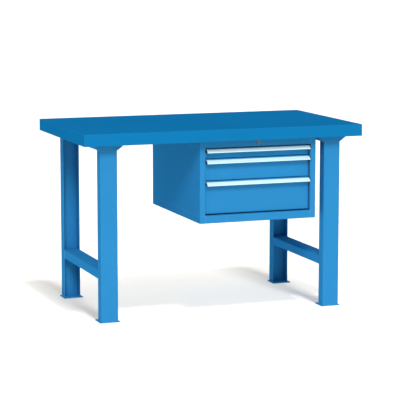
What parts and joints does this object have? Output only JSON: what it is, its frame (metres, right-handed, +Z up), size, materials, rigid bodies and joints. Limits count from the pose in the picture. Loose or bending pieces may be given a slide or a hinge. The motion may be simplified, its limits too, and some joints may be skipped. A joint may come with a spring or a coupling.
{
  "type": "workbench with drawers",
  "caption": "Steel workbench on two leg frames, with a lockable cabinet of drawers hung under the right of its worktop.",
  "frame": {"origin": "on the floor, under the middle of the worktop", "axes": "+X to the right as seen by the person working at the bench, +Y to its back, +Z up"},
  "size_m": [1.35, 0.765, 0.865],
  "materials": {
    "worktop_paint": "blue powder coat, satin",
    "frame_paint": "blue powder coat, satin",
    "cabinet_paint": "blue powder coat, satin",
    "front_paint": "blue powder coat, satin",
    "drawer_paint": "blue powder coat, satin",
    "board": "film-faced board, dark brown",
    "zinc_steel": "zinc plated, dull",
    "slide_steel": "zinc plated, clean",
    "handle_aluminium": "extruded, silver anodised",
    "cap_plastic": "dark grey moulded",
    "lock_metal": "dark nickel plated"
  },
  "bodies": {
    "root": {"worktop_skin": "worktop_paint", "worktop_core": "board", "left_top_beam": "frame_paint", "left_front_post": "frame_paint", "left_rear_post": "frame_paint", "left_stretcher": "frame_paint", "left_front_foot": "frame_paint", "left_rear_foot": "frame_paint", "right_top_beam": "frame_paint", "right_front_post": "frame_paint", "right_rear_post": "frame_paint", "right_stretcher": "frame_paint", "right_front_foot": "frame_paint", "right_rear_foot": "frame_paint", "leg_bolts": "zinc_steel", "cabinet_left_side": "cabinet_paint", "cabinet_right_side": "cabinet_paint", "cabinet_back": "cabinet_paint", "cabinet_bottom": "cabinet_paint", "cabinet_top": "cabinet_paint", "cabinet_header": "cabinet_paint", "cabinet_bolts": "zinc_steel", "left_slide_uprights": "zinc_steel", "right_slide_uprights": "zinc_steel", "lock_barrel": "lock_metal", "lock_nut": "zinc_steel", "shaft_bracket": "zinc_steel", "lock_bar_guides": "zinc_steel", "top_outer_rails": "slide_steel", "middle_outer_rails": "slide_steel", "bottom_outer_rails": "slide_steel"},
    "top_drawer": {"top_tray": "drawer_paint", "top_front": "front_paint", "top_handle": "handle_aluminium", "top_handle_caps": "cap_plastic", "top_inner_rails": "slide_steel", "top_catch": "zinc_steel", "top_screws": "zinc_steel"},
    "top_slide": {"top_middle_rails": "slide_steel"},
    "middle_drawer": {"middle_tray": "drawer_paint", "middle_front": "front_paint", "middle_handle": "handle_aluminium", "middle_handle_caps": "cap_plastic", "middle_inner_rails": "slide_steel", "middle_catch": "zinc_steel", "middle_screws": "zinc_steel"},
    "middle_slide": {"middle_middle_rails": "slide_steel"},
    "bottom_drawer": {"bottom_tray": "drawer_paint", "bottom_front": "front_paint", "bottom_handle": "handle_aluminium", "bottom_handle_caps": "cap_plastic", "bottom_inner_rails": "slide_steel", "bottom_catch": "zinc_steel", "bottom_screws": "zinc_steel"},
    "bottom_slide": {"bottom_middle_rails": "slide_steel"},
    "lock_spindle": {"lock_plug": "lock_metal", "lock_shaft": "zinc_steel", "lock_crank": "zinc_steel"},
    "lock_bar": {"lock_bar": "zinc_steel", "lock_bar_hooks": "zinc_steel"}
  },
  "joints": [
    {"name": "top_drawer_slide", "type": "slide", "parent": "root", "child": "top_drawer", "axis": [0, -1, 0], "range_m": [0, 0.58]},
    {"name": "top_slide_follow", "type": "slide", "parent": "root", "child": "top_slide", "axis": [0, -1, 0], "range_m": [0, 0.29]},
    {"name": "middle_drawer_slide", "type": "slide", "parent": "root", "child": "middle_drawer", "axis": [0, -1, 0], "range_m": [0, 0.58]},
    {"name": "middle_slide_follow", "type": "slide", "parent": "root", "child": "middle_slide", "axis": [0, -1, 0], "range_m": [0, 0.29]},
    {"name": "bottom_drawer_slide", "type": "slide", "parent": "root", "child": "bottom_drawer", "axis": [0, -1, 0], "range_m": [0, 0.58]},
    {"name": "bottom_slide_follow", "type": "slide", "parent": "root", "child": "bottom_slide", "axis": [0, -1, 0], "range_m": [0, 0.29]},
    {"name": "lock_turn", "type": "hinge", "parent": "root", "child": "lock_spindle", "pos_m": [0.1755, -0.3275, 0.7935], "axis": [0, 1, 0], "range_deg": [0, 90]},
    {"name": "lock_bar_lift", "type": "slide", "parent": "root", "child": "lock_bar", "axis": [0, 0, -1], "range_m": [0, 0.008]}
  ],
  "couplings": [
    {"joint": "top_slide_follow", "follows": "top_drawer_slide", "ratio": 0.5},
    {"joint": "middle_slide_follow", "follows": "middle_drawer_slide", "ratio": 0.5},
    {"joint": "bottom_slide_follow", "follows": "bottom_drawer_slide", "ratio": 0.5},
    {"joint": "lock_turn", "follows": "lock_bar_lift", "rad_per_m": 196.35}
  ]
}
